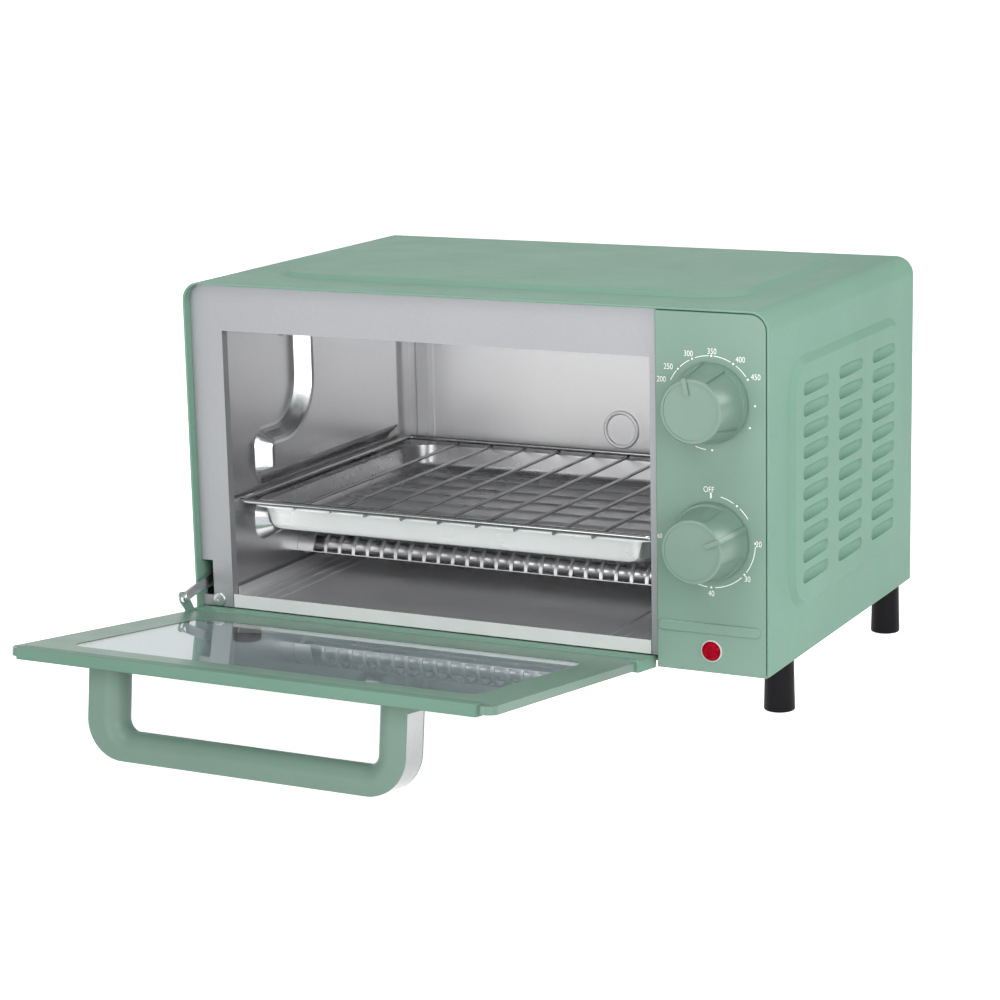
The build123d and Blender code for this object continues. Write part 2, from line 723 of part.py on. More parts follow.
panel = panel - rod_y(yf - 1, yf + panel_t + 1, dx, lamp_dz, lamp_r)
save("control_panel", panel)

# Pilot lamp: ring, red lens and the socket behind
ring = rod_y(yf - lamp_ring, yf, dx, lamp_dz, lamp_r + lamp_ring)
ring = fillet(ring.edges().group_by(Axis.Y)[0], lamp_ring / 2)
ring = ring - rod_y(yf - 2 * lamp_ring, yf + 1, dx, lamp_dz, lamp_r)
save("lamp_ring", ring)
lens = rod_y(yf - lamp_dome, yf + panel_t, dx, lamp_dz, lamp_r)
lens = fillet(lens.edges().group_by(Axis.Y)[0], lamp_dome * 0.9)
save("lamp_lens", lens)
save("lamp_socket", rod_y(yf + panel_t, yf + panel_t + lamp_len, dx, lamp_dz, lamp_r + lamp_ring))

# Thermostat and timer behind the panel, with their shafts and knobs
body_y = yf + panel_t
knob_y = yf - knob_gap
for name, level, width, depth in (("thermostat", upper_dz, thermo_w, thermo_d),
                                  ("timer", lower_dz, timer_w, timer_d)):
    case = Pos(dx, body_y + depth / 2, level) * Box(width, depth, width)
    case = fillet(case.edges().filter_by(Axis.Y), width / 8)
    bore = rod_y(body_y - 1, body_y + depth / 2, dx, level, shaft_r + shaft_run)
    save(name + "_body", case - bore)
    shaft = rod_y(knob_y - shaft_seat, body_y + depth / 2 - rest_gap, dx, level, shaft_r)
    save(name + "_shaft", shaft)


def knob(turn):
    # Tapered cap, drawn with its axis up and its pointer along +Y
    def taper(extra, height):
        shape = Cone(knob_r + extra, knob_face_r + extra, height)
        return Pos(0, 0, height / 2) * shape

    cap = taper(0, knob_len)
    cap = fillet(cap.edges().group_by(Axis.Z)[-1], knob_edge)
    cap = cap - Pos(0, 0, knob_len) * Cylinder(knob_face_r - knob_rim, 2 * knob_face_sink)
    reach = 2 * knob_r
    rise = reach * math.tan(math.radians(knob_grip_half))
    bow = make_face(Polyline((0, 0), (reach, rise), (reach, -rise), close=True))
    bow = bow + mirror(bow, Plane.YZ)
    grip_h = knob_len - knob_skirt - knob_rim
    grip = extrude(bow, grip_h) - taper(-knob_grip, knob_len)
    cap = cap - Pos(0, 0, knob_skirt) * grip
    hollow_h = knob_len - knob_wall
    hollow = Pos(0, 0, hollow_h / 2) * Cylinder(knob_face_r - knob_wall, hollow_h)
    cap = cap - (hollow - Cylinder(hub_r, 3 * knob_len))
    rib = block(-pointer_w / 2, pointer_w / 2, pointer_in, 2 * knob_r, 0, 2 * knob_len)
    rib = taper(pointer_out, knob_len + pointer_out) & rib
    cap = cap + (rib - hollow)
    cap = cap - Pos(0, 0, shaft_seat / 2) * Cylinder(shaft_r + push_fit, shaft_seat + push_fit)
    return Rot(90, 0, 0) * Rot(0, 0, turn) * cap


save("thermostat_knob", Pos(dx, knob_y, upper_dz) * knob(upper_turn))
save("timer_knob", Pos(dx, knob_y, lower_dz) * knob(-lower_turn))

# Stud on the plate beside the link
stud_at = -hw + stud_x
stud = rod_y(plate_y - stud_out, plate_y, stud_at, hinge_z + stud_z, stud_r)
stud = fillet(stud.edges().group_by(Axis.Y)[0], stud_out * 0.6)
dimple = rod_y(plate_y - 2 * stud_out, plate_y - stud_out / 2, stud_at, hinge_z + stud_z, stud_r / 3)
stud = stud - dimple
save("plate_stud", stud)

# Hinge lugs hang from the base plate and hold the door's pins from below
lug_low = hinge_z - tail_r - swing - lug_reach
lug_y1 = hinge_y + tail_r + swing + lug_back
lugs = []
for x in lug_set:
    x0 = x - lug_t / 2
    x1 = x + lug_t / 2
    lug = block(x0, x1, hinge_y - lug_w / 2, hinge_y + lug_w / 2, lug_low, hinge_z)
    lug = lug + rod_x(x0, x1, hinge_y, hinge_z, lug_r)
    lug = lug + block(x0, x1, hinge_y - lug_w / 2, lug_y1, lug_low, lug_low + lug_reach)
    lug = lug + block(x0, x1, lug_y1 - lug_back, lug_y1, lug_low, zb - seam)
    lug = lug - rod_x(x0 - 1, x1 + 1, hinge_y, hinge_z, pin_r + pin_run)
    lugs.append(lug)
save("hinge_lugs", Compound(children=lugs))

# Door, drawn shut and then swung open. Heights are from the hinge axis.
inner_y = hinge_y + half_t
outer_y = hinge_y - half_t
glass_y0 = hinge_y - glass_t / 2
glass_y1 = hinge_y + glass_t / 2
groove_y0 = glass_y0 - glass_fit
groove_y1 = glass_y1 + glass_fit
glass_low = rail_lip / 2
pane_x0 = door_x0 + link_plate + glass_fit
pane_x1 = door_x1 - cap_t - glass_fit
rail_x0 = door_x0 + link_plate

rail = block(rail_x0, door_x1, outer_y, inner_y, hinge_z - door_tail, hinge_z + rail_lip)
rail = rail + block(door_x1 - cap_t - cap_w, door_x1, outer_y, inner_y, hinge_z, hinge_z + cap_lip)
rail = rail - block(door_x0, door_x1 - cap_t, groove_y0, groove_y1,
                    hinge_z + glass_low - glass_fit, hinge_z + door_top)
for x in lug_set:
    room = lug_t / 2 + lug_side
    rail = rail - block(x - room, x + room, outer_y - 1, inner_y - skin, hinge_z - door_tail - 1,
                        hinge_z + lug_r + swing)
    rail = rail - rod_x(x - pin_len / 2, x + pin_len / 2, hinge_y, hinge_z, pin_r)
clear = stud_r + stud_clear
rail = rail - block(stud_at - clear, stud_at + clear, inner_y + door_gap - stud_out - swing, inner_y + 1,
                    hinge_z, hinge_z + stud_z + clear)
save("door_hinge_rail", opened(rail))

pins = []
for x in lug_set:
    pins.append(opened(rod_x(x - pin_len / 2, x + pin_len / 2, hinge_y, hinge_z, pin_r)))
save("hinge_pins", Compound(children=pins))

pane = rect(pane_x0, pane_x1, hinge_z + glass_low, hinge_z + door_top - glass_in)
pane = fillet(pane.vertices().group_by(Axis.Y)[-1], glass_r)
save("door_glass", opened(along_y(pane, glass_y0, glass_y1)))
print_top = hinge_z + door_top - top_lip - glass_fit
border = rect(pane_x0 + cap_w, pane_x1 - cap_w - glass_fit, hinge_z + rail_lip + glass_fit, print_top)
side_strip = rect(pane_x0, pane_x1, hinge_z + cap_lip + glass_fit, print_top)
window = rect(door_x0 + window_side, door_x1 - window_side, hinge_z + window_low,
              hinge_z + door_top - window_top, window_r)
border = (border + side_strip - window) & pane
save("glass_border", opened(along_y(border, glass_y1, glass_y1 + print_t)))

bar_x0 = door_x0 + top_rail_in
bar_x1 = door_x1 - top_rail_in
channel = block(bar_x0, bar_x1, outer_y, inner_y, hinge_z + door_top - top_lip, hinge_z + door_top)
channel = fillet(channel.edges().filter_by(Axis.X).group_by(Axis.Z)[-1], top_rail_r)
channel = channel + block(bar_x0, bar_x1, outer_y, glass_y0, hinge_z + door_top - top_lip_out,
                          hinge_z + door_top - top_lip)
channel = channel - block(bar_x0 - 1, bar_x1 + 1, groove_y0, groove_y1, hinge_z,
                          hinge_z + door_top - glass_in + glass_fit)
save("door_top_rail", opened(channel))

# Handle: a U that stands off the top rail, with a bright trim round its outer edge
grip_z1 = hinge_z + door_top - handle_tip
grip_z0 = grip_z1 - handle_d
grip_x0 = door_x - handle_w / 2
grip_x1 = door_x + handle_w / 2
bow_out = rect(grip_x0, grip_x1, outer_y - handle_out, outer_y)
bow_out = fillet(bow_out.vertices().group_by(Axis.Y)[0], handle_r)
bow_in = rect(grip_x0 + handle_leg, grip_x1 - handle_leg, outer_y - handle_out + handle_bar, outer_y + 1)
bow_in = fillet(bow_in.vertices().group_by(Axis.Y)[0], handle_ri)
trim_line = rect(grip_x0 + trim_t, grip_x1 - trim_t, outer_y - handle_out + trim_t, outer_y + 1)
trim_line = fillet(trim_line.vertices().group_by(Axis.Y)[0], handle_r - trim_t)
trim = bow_out - trim_line
trim = trim & rect(grip_x0, grip_x1, outer_y - handle_out, outer_y - trim_foot)
trim_body = along_z(trim, grip_z0 + trim_in, grip_z1 - trim_in)
handle = along_z(bow_out - bow_in, grip_z0, grip_z1)
bar_y = outer_y - handle_out + handle_bar
inner_edges = []
for edge in handle.edges().filter_by(Plane.XY):
    middle = edge.center()
    within_legs = abs(middle.X - door_x) < handle_w / 2 - handle_leg + seam
    if within_legs and bar_y - seam < middle.Y < outer_y - seam:
        inner_edges.append(edge)
handle = fillet(inner_edges, handle_edge)
groove = along_z(trim, grip_z0 + trim_in, grip_z1 - trim_in)
shadow = rect(grip_x0, grip_x1, outer_y - trim_foot - 1, outer_y - trim_foot) - trim_line
handle = handle - groove - along_z(shadow, grip_z0 + trim_in, grip_z1 - trim_in)
save("handle_body", opened(handle))
save("handle_trim", opened(trim_body))

# Link bracket on the door, its rivet, and the arm that slides back through the plate's slot
arm_x0 = rail_x0 + link_room
arm_x1 = arm_x0 + link_t
pivot_y = hinge_y + link_n
pivot_z = hinge_z + link_u
fin = Polyline((outer_y, hinge_z - door_tail), (outer_y, hinge_z + cap_lip),
               (inner_y, hinge_z + cap_lip), (pivot_y - rivet_head, pivot_z + rivet_head),
               (pivot_y + rivet_head, pivot_z + rivet_head),
               (pivot_y + rivet_head, pivot_z - rivet_head),
               (inner_y, hinge_z + link_low), (inner_y, hinge_z - door_tail), close=True)
fin = make_face(fin)
fin = fillet(fin.vertices().sort_by(Axis.X)[-2:], rivet_head * 0.9)
bracket = along_x(fin, door_x0, rail_x0) - rod_x(door_x0 - 1, rail_x0 + 1, pivot_y, pivot_z, rivet_r)
save("link_bracket", opened(bracket))

rivet = rod_x(door_x0 - rivet_tail_h, arm_x1 + link_run, pivot_y, pivot_z, rivet_r)
rivet = rivet + rod_x(door_x0 - rivet_tail_h, door_x0, pivot_y, pivot_z, rivet_head)
head = rod_x(arm_x1 + link_run, arm_x1 + link_run + rivet_head_h, pivot_y, pivot_z, rivet_head)
head = fillet(head.edges().group_by(Axis.X)[-1], rivet_head_h * 0.6)
save("link_rivet", opened(rivet + head))

arm = rect(-link_h * 0.7, link_len, -link_h / 2, link_h / 2, link_h * 0.45)
arm = arm - Circle(rivet_r + link_run) - Pos(link_len - link_h, 0) * Circle(rivet_r)
arm = along_x(arm, arm_x0, arm_x1)
arm_y = hinge_y - link_u * math.cos(tilt) + link_n * math.sin(tilt)
arm_z = hinge_z + link_u * math.sin(tilt) + link_n * math.cos(tilt)
save("link_arm", Pos(0, arm_y, arm_z) * Rot(link_rise, 0, 0) * arm)

print("door tilt", round(math.degrees(tilt), 3))
print("hinge axis", round(hinge_y, 3), round(hinge_z, 3))
print("dials", round(dx, 3), round(knob_y, 3), round(upper_dz, 3), round(lower_dz, 3))
print("link pivot", round((arm_x0 + arm_x1) / 2, 3), round(arm_y, 3), round(arm_z, 3))
print("front foot", round(foot_x, 3), round(yf + foot_front, 3))
print("cavity", round(wall_in, 2), round(cav_x + wall_x, 2), round(cav_back, 2), round(ceil_z, 2))
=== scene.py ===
import json
import math

import bpy
from mathutils import Matrix, Vector


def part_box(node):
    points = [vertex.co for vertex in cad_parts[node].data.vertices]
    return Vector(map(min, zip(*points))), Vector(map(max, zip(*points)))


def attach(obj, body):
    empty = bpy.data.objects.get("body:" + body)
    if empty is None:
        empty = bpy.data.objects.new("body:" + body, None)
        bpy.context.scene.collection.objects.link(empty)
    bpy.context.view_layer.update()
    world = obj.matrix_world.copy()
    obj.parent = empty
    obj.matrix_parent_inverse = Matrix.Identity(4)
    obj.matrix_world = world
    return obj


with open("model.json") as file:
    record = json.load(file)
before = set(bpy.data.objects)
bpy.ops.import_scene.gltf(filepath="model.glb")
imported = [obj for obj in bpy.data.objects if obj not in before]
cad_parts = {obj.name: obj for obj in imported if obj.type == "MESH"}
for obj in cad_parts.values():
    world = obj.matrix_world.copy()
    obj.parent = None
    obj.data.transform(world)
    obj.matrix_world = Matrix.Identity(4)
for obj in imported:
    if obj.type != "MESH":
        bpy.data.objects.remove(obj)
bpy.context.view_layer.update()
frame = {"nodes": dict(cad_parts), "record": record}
record = frame["record"]
scene = bpy.context.scene
scene.view_settings.view_transform = "Standard"


# Node helpers

NOISE_LOW, NOISE_HIGH = 0.3, 0.7    # part of a noise that colours and gloss are spread over


def new_material(name):
    mat = bpy.data.materials.new(name)
    mat.use_nodes = True
    tree = mat.node_tree
    tree.nodes.clear()
    out = tree.nodes.new("ShaderNodeOutputMaterial")
    shader = tree.nodes.new("ShaderNodeBsdfPrincipled")
    tree.links.new(shader.outputs["BSDF"], out.inputs["Surface"])
    return mat, tree, shader


def coords(tree, stretch=(1, 1, 1)):
    place = tree.nodes.new("ShaderNodeTexCoord")
    scale = tree.nodes.new("ShaderNodeMapping")
    scale.inputs["Scale"].default_value = stretch
    tree.links.new(place.outputs["Object"], scale.inputs["Vector"])
    return scale.outputs["Vector"]


def split_xyz(tree, vector):
    node = tree.nodes.new("ShaderNodeSeparateXYZ")
    tree.links.new(vector, node.inputs[0])
    return node.outputs


def noise(tree, vector, scale, detail=3.0, rough=0.5):
    tex = tree.nodes.new("ShaderNodeTexNoise")
    tex.inputs["Scale"].default_value = scale
    tex.inputs["Detail"].default_value = detail
    tex.inputs["Roughness"].default_value = rough
    tree.links.new(vector, tex.inputs["Vector"])
    return tex.outputs["Fac"]


def tint(tree, fac, low, high, start=NOISE_LOW, end=NOISE_HIGH):
    ramp = tree.nodes.new("ShaderNodeValToRGB")
    for stop, position, colour in zip(ramp.color_ramp.elements, (start, end), (low, high)):
        stop.position = position
        stop.color = (*colour, 1)
    tree.links.new(fac, ramp.inputs["Fac"])
    return ramp.outputs["Color"]


def spread(tree, fac, low, high):
    node = tree.nodes.new("ShaderNodeMapRange")
    node.inputs["From Min"].default_value = NOISE_LOW
    node.inputs["From Max"].default_value = NOISE_HIGH
    node.inputs["To Min"].default_value = low
    node.inputs["To Max"].default_value = high
    tree.links.new(fac, node.inputs["Value"])
    return node.outputs["Result"]


def bump(tree, shader, fac, strength, distance):
    node = tree.nodes.new("ShaderNodeBump")
    node.inputs["Strength"].default_value = strength
    node.inputs["Distance"].default_value = distance
    tree.links.new(fac, node.inputs["Height"])
    tree.links.new(node.outputs["Normal"], shader.inputs["Normal"])


def link_math(tree, kind, *values):
    node = tree.nodes.new("ShaderNodeMath")
    node.operation = kind
    for socket, value in zip(node.inputs, values):
        if isinstance(value, (int, float)):
            socket.default_value = value
        else:
            tree.links.new(value, socket)
    return node.outputs[0]


def mix_colour(tree, fac, low, high):
    node = tree.nodes.new("ShaderNodeMix")
    node.data_type = "RGBA"
    tree.links.new(fac, node.inputs["Factor"])
    tree.links.new(low, node.inputs[6])
    tree.links.new(high, node.inputs[7])
    return node.outputs[2]


def shade(colour, factor):
    return tuple(min(1.0, c * factor) for c in colour)


# Paint, plastic and sheet metal

GREEN = (0.203, 0.355, 0.278)
MOULDED = (0.196, 0.31, 0.253)

PAINT_CLOUD = 14        # noise scales, per metre
PAINT_PATCH = 45
PAINT_GLOSS_VARY = 0.08
PAINT_BUMP = 0.25

# name: colour, roughness, grain per metre, grain depth in metres, other values
PAINTS = {
    "green_paint": (GREEN, 0.42, 900, 0.00006, {"gloss": 0.06}),
    # Painted shade: the door top rail uses a darker copy of the body paint
    "rail_paint": (shade(GREEN, 0.76), 0.42, 900, 0.00006, {"gloss": 0.06}),
    "green_plastic": (MOULDED, 0.36, 1600, 0.00004, {"gloss": 0.35}),
    # Painted shade: the knobs use a darker copy of the panel plastic
    "knob_plastic": (shade(MOULDED, 0.84), 0.3, 1600, 0.00003, {"gloss": 0.6}),
    # Painted shade: the handle uses a darker copy of the panel plastic
    "handle_plastic": (shade(MOULDED, 0.78), 0.36, 1600, 0.00004, {"gloss": 0.3}),
    "green_enamel": (shade(GREEN, 0.78), 0.35, 500, 0.00001, {"gloss": 0.3}),
    "black_plastic": ((0.005, 0.005, 0.006), 0.5, 1200, 0.00006, {"vary": 0.15, "gloss": 0.12}),
    "white_ceramic": ((0.72, 0.69, 0.63), 0.5, 1500, 0.00005, {}),
    "pale_ring": ((0.50, 0.54, 0.51), 0.25, 900, 0.00001, {"coat": 0.3}),
    "panel_ink": ((0.93, 0.95, 0.93), 0.5, 2500, 0.00001, {"vary": 0.03}),
}
COAT_ROUGH = 0.2

METAL_CLOUD = 18
METAL_BUMP = 0.2
METAL_DEPTH = 0.00001
METAL_LOW, METAL_HIGH = 0.35, 0.65
ALONG_X = (3, 60, 60)   # stretch of the rolling lines
ALONG_Y = (60, 3, 60)
ALONG_Z = (60, 60, 3)
SHEET_VARY = 0.03

# name: colour, roughness, stretch of the rolling lines, other values
METALS = {
    "grey_sheet": ((0.35, 0.356, 0.37), 0.5, (900, 900, 900), {"rough_vary": 0.1, "shine": 0.6}),
    "bright_sheet": ((0.8, 0.8, 0.81), 0.24, ALONG_Y, {"vary": SHEET_VARY, "shine": 0.95}),
    "guard_sheet": ((0.62, 0.62, 0.63), 0.35, ALONG_X, {"vary": SHEET_VARY, "shine": 0.9}),
    # Back wall: its own grain and gloss, with a colour lighter than the cavity walls as painted light
    "back_sheet": ((0.98, 0.98, 0.99), 0.42, ALONG_Z, {"vary": 0.02, "shine": 0.5}),
    # Tray and pan sheets get a painted highlight on their front faces, set further down
    "tray_sheet": ((0.88, 0.88, 0.89), 0.36, ALONG_X, {"vary": SHEET_VARY, "shine": 0.8}),
    "pan_sheet": ((0.5, 0.5, 0.51), 0.28, ALONG_X, {"vary": SHEET_VARY, "shine": 0.9}),
    "bright_trim": ((0.36, 0.36, 0.37), 0.2, (8, 600, 600), {}),
    "steel_wire": ((0.42, 0.42, 0.42), 0.16, (200, 200, 200), {}),
    "zinc": ((0.66, 0.66, 0.67), 0.3, (120, 120, 120), {}),
}


def paint(name, colour, rough, grain, depth, vary=0.04, coat=0.0, gloss=0.5):
    # Painted or moulded surface: slight cloudiness, orange-peel bump, uneven gloss
    mat, tree, shader = new_material(name)
    place = coords(tree)
    cloud = noise(tree, place, PAINT_CLOUD, 4)
    tree.links.new(tint(tree, cloud, shade(colour, 1 - vary), shade(colour, 1 + vary)),
                   shader.inputs["Base Color"])
    patch = noise(tree, place, PAINT_PATCH)
    tree.links.new(spread(tree, patch, rough * (1 - PAINT_GLOSS_VARY), rough * (1 + PAINT_GLOSS_VARY)),
                   shader.inputs["Roughness"])
    bump(tree, shader, noise(tree, place, grain, 2), PAINT_BUMP, depth)
    shader.inputs["Specular IOR Level"].default_value = gloss
    if coat:
        shader.inputs["Coat Weight"].default_value = coat
        shader.inputs["Coat Roughness"].default_value = COAT_ROUGH
    return mat


def metal(name, colour, rough, stretch, vary=0.06, rough_vary=0.15, shine=1.0):
    # Sheet metal: rolling lines along one direction and cloudy gloss
    mat, tree, shader = new_material(name)
    lines = noise(tree, coords(tree, stretch), 1.0, 4, 0.6)
    cloud = noise(tree, coords(tree), METAL_CLOUD, 4)
    shader.inputs["Metallic"].default_value = shine
    mixed = link_math(tree, "MULTIPLY_ADD", lines, 0.5, link_math(tree, "MULTIPLY", cloud, 0.5))
    tree.links.new(tint(tree, mixed, shade(colour, 1 - vary), shade(colour, 1 + vary),
                        METAL_LOW, METAL_HIGH), shader.inputs["Base Color"])
    tree.links.new(spread(tree, mixed, rough * (1 - rough_vary), rough * (1 + rough_vary)),
                   shader.inputs["Roughness"])
    bump(tree, shader, lines, METAL_BUMP, METAL_DEPTH)
    return mat


mats = {}
for maker, table in ((paint, PAINTS), (metal, METALS)):
    for name, (*values, others) in table.items():
        mats[name] = maker(name, *values, **others)


# Front faces of tray and pan, painted brighter as painted light

TRAY_EDGE = 0.0004      # depth of the painted lit front, from the piece's foremost point
PAN_EDGE = 0.0047
TRAY_LIT_TONE = 0.78       # tone of the painted lit front (painted highlight)
PAN_LIT_TONE = 0.96
LIT_FRONT_VARY = 0.03
LIT_FRONT_CLOUD = 30
REST_SHINE = 0.85
LIT_FRONT_SHINE_LESS = 0.7


def painted_lit_front(mat, edge, level):
    # Painted highlight: the front face is painted brighter and less metallic, as if lit; the rest keeps
    # the base colour
    tree = mat.node_tree
    shader = tree.nodes["Principled BSDF"]
    own_colour = shader.inputs["Base Color"].links[0].from_socket
    place = coords(tree)
    front = link_math(tree, "LESS_THAN", split_xyz(tree, place)["Y"], edge)
    lit_tone = tint(tree, noise(tree, place, LIT_FRONT_CLOUD),
                 (level - LIT_FRONT_VARY,) * 3, (level + LIT_FRONT_VARY,) * 3)
    tree.links.new(mix_colour(tree, front, own_colour, lit_tone), shader.inputs["Base Color"])
    less = link_math(tree, "MULTIPLY", front, LIT_FRONT_SHINE_LESS)
    tree.links.new(link_math(tree, "SUBTRACT", REST_SHINE, less), shader.inputs["Metallic"])


# Painted light on the fronts of crumb tray and bake pan
painted_lit_front(mats["tray_sheet"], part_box("crumb_tray")[0][1] + TRAY_EDGE, TRAY_LIT_TONE)
painted_lit_front(mats["pan_sheet"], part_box("bake_pan")[0][1] + PAN_EDGE, PAN_LIT_TONE)


# Lamp lens

LENS_CELLS = 900
LENS_RED = (0.5, 0.0, 0.02)
LENS_DARK = (0.2, 0.0, 0.006)


def red_lens():
    mat, tree, shader = new_material("red_lens")
    cells = tree.nodes.new("ShaderNodeTexVoronoi")
    cells.inputs["Scale"].default_value = LENS_CELLS
    tree.links.new(coords(tree), cells.inputs["Vector"])
    tree.links.new(tint(tree, cells.outputs["Distance"], LENS_RED, LENS_DARK, 0.1, 0.7),
                   shader.inputs["Base Color"])
    shader.inputs["Roughness"].default_value = 0.18
    shader.inputs["Specular IOR Level"].default_value = 0.05
    return mat


# Door glass

hinge_joint = [joint for joint in record["behaviour"]["joints"] if joint["name"] == "door_hinge"][0]
HINGE = hinge_joint["pos_m"]
TILT = math.radians(90 - hinge_joint["range_deg"][1])   # open door above level
WINDOW_X = (-0.14325, 0.08255)
WINDOW_U = (0.035, 0.152)                               # along the door, from the hinge
WINDOW_R = 0.008
# Blue-green glass tint, made dark as painted shade for the shadowed floor seen through the door
GLASS_LOW = (0.21, 0.262, 0.272)
GLASS_HIGH = (0.24, 0.297, 0.307)
PRINT_LOW, PRINT_HIGH = 0.61, 0.67
PRINT_ROUGH = 0.3
GLASS_ROUGH = 0.003
GLASS_SMEAR = 9


def clear_glass():
    # Clear inside the window, printed green round it: a rounded rectangle in the door's plane
    mat, tree, shader = new_material("clear_glass")
    place = tree.nodes.new("ShaderNodeTexCoord").outputs["Object"]
    axes = split_xyz(tree, place)
    ahead = link_math(tree, "SUBTRACT", HINGE[1], axes["Y"])
    above = link_math(tree, "SUBTRACT", axes["Z"], HINGE[2])
    along = link_math(tree, "ADD", link_math(tree, "MULTIPLY", ahead, math.cos(TILT)),
                      link_math(tree, "MULTIPLY", above, math.sin(TILT)))
    over = []
    for value, (low, high) in ((axes["X"], WINDOW_X), (along, WINDOW_U)):
        off = link_math(tree, "ABSOLUTE", link_math(tree, "SUBTRACT", value, (low + high) / 2))
        over.append(link_math(tree, "SUBTRACT", off, (high - low) / 2 - WINDOW_R))
    outer = [link_math(tree, "MAXIMUM", value, 0.0) for value in over]
    squares = [link_math(tree, "MULTIPLY", value, value) for value in outer]
    corner = link_math(tree, "SQRT", link_math(tree, "ADD", *squares))
    inner = link_math(tree, "MINIMUM", link_math(tree, "MAXIMUM", *over), 0.0)
    gap = link_math(tree, "SUBTRACT", link_math(tree, "ADD", corner, inner), WINDOW_R)
    clear = link_math(tree, "LESS_THAN", gap, 0.0)
    smear = noise(tree, place, GLASS_SMEAR)
    glass = tint(tree, smear, GLASS_LOW, GLASS_HIGH)
    printed = tint(tree, smear, shade(GREEN, PRINT_LOW), shade(GREEN, PRINT_HIGH))
    tree.links.new(mix_colour(tree, clear, printed, glass), shader.inputs["Base Color"])
    tree.links.new(clear, shader.inputs["Transmission Weight"])
    smooth = spread(tree, smear, 0.0, GLASS_ROUGH)
    satin = link_math(tree, "MULTIPLY", link_math(tree, "SUBTRACT", 1.0, clear), PRINT_ROUGH)
    tree.links.new(link_math(tree, "ADD", smooth, satin), shader.inputs["Roughness"])
    shader.inputs["IOR"].default_value = 1.5
    return mat


mats["red_lens"] = red_lens()
mats["clear_glass"] = clear_glass()

slots = {entry["node"]: entry["material_slot"] for entry in record["subparts"]}
# Materials set per piece: painted light on tray and pan fronts and the back wall, painted shade on
# knobs, handle and door top rail; the heater guards get their own sheet
FINISHES_AND_PAINTED_LIGHT = {
    "crumb_tray": "tray_sheet",
    "bake_pan": "pan_sheet",
    "cavity_back": "back_sheet",
    "heater_guards": "guard_sheet",
    "thermostat_knob": "knob_plastic",
    "timer_knob": "knob_plastic",
    "handle_body": "handle_plastic",
    "door_top_rail": "rail_paint",
}
for name, obj in frame["nodes"].items():
    obj.data.materials.clear()
    obj.data.materials.append(mats[FINISHES_AND_PAINTED_LIGHT.get(name, slots[name])])


# Dial printing on the control panel

def shaft_centre(box):
    low, high = box
    return (low[0] + high[0]) / 2, (low[2] + high[2]) / 2


CENTRE_UP = shaft_centre(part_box("thermostat_shaft"))
CENTRE_DOWN = shaft_centre(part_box("timer_shaft"))
INK = 0.00012           # thickness of the print
PRINT_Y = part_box("lamp_ring")[1][1] - INK

MARK_R = 0.0234         # dots and arcs from the shaft
MARK_W = 0.00042
DOT_R = 0.00056
DOT_SIDES = 20
ARC_STEP = 2            # degrees
TICK_IN, TICK_OUT, TICK_W = 0.0218, 0.0246, 0.0009

# Degrees from the top, to the right
UP_DOTS = (-47, -24, 1.5, 31, 57, 90, 118, 178)
UP_ARCS = ((-64, -50), (-43, -28), (-20, -2), (5, 27), (35, 53), (186, 200))
DOWN_TICK = 0
DOWN_DOTS = (36, 88, 131, 180)
DOWN_ARCS = ((13, 31), (41, 57), (92, 127), (136, 175), (185, 200))

LETTER = 0.0041
LETTER_SMALL = 0.0034
LETTER_NARROW = 0.82
LABELS = (
    ("200", 0.1109, 0.1731, LETTER), ("250", 0.1147, 0.1796, LETTER),
    ("300", 0.1254, 0.1866, LETTER), ("350", 0.1378, 0.1883, LETTER),
    ("400", 0.1527, 0.1850, LETTER), ("450", 0.1607, 0.1769, LETTER),
    ("OFF", 0.1358, 0.1195, LETTER), ("20", 0.1621, 0.0940, LETTER),
    ("30", 0.1561, 0.0759, LETTER), ("40", 0.1369, 0.0669, LETTER),
    ("60", 0.1093, 0.0938, LETTER_SMALL),
)


def add_mesh(name, verts, faces, body, mat):
    mesh = bpy.data.meshes.new(name)
    mesh.from_pydata(verts, [], faces)
    mesh.update()
    obj = bpy.data.objects.new(name, mesh)
    scene.collection.objects.link(obj)
    mesh.materials.append(mats[mat])
    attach(obj, body)


def on_dial(centre, angle, radius):
    turn = math.radians(angle)
    return centre[0] + radius * math.sin(turn), centre[1] + radius * math.cos(turn)


def dot(verts, faces, centre, angle):
    x, z = on_dial(centre, angle, MARK_R)
    base = len(verts)
    for side in range(DOT_SIDES):
        turn = 2 * math.pi * side / DOT_SIDES
        verts.append((x + DOT_R * math.cos(turn), PRINT_Y, z + DOT_R * math.sin(turn)))
    faces.append(tuple(range(base, base + DOT_SIDES)))


def arc(verts, faces, centre, start, end):
    steps = max(4, int(abs(end - start) / ARC_STEP))
    base = len(verts)
    for step in range(steps + 1):
        angle = start + (end - start) * step / steps
        for radius in (MARK_R - MARK_W / 2, MARK_R + MARK_W / 2):
            x, z = on_dial(centre, angle, radius)
            verts.append((x, PRINT_Y, z))
    for step in range(steps):
        a = base + 2 * step
        faces.append((a, a + 2, a + 3, a + 1))


def tick(verts, faces, centre, angle):
    turn = math.radians(angle)
    side = (math.cos(turn) * TICK_W / 2, -math.sin(turn) * TICK_W / 2)
    base = len(verts)
    for radius, way in ((TICK_IN, -1), (TICK_IN, 1), (TICK_OUT, 1), (TICK_OUT, -1)):
        x, z = on_dial(centre, angle, radius)
        verts.append((x + way * side[0], PRINT_Y, z + way * side[1]))
    faces.append((base, base + 1, base + 2, base + 3))


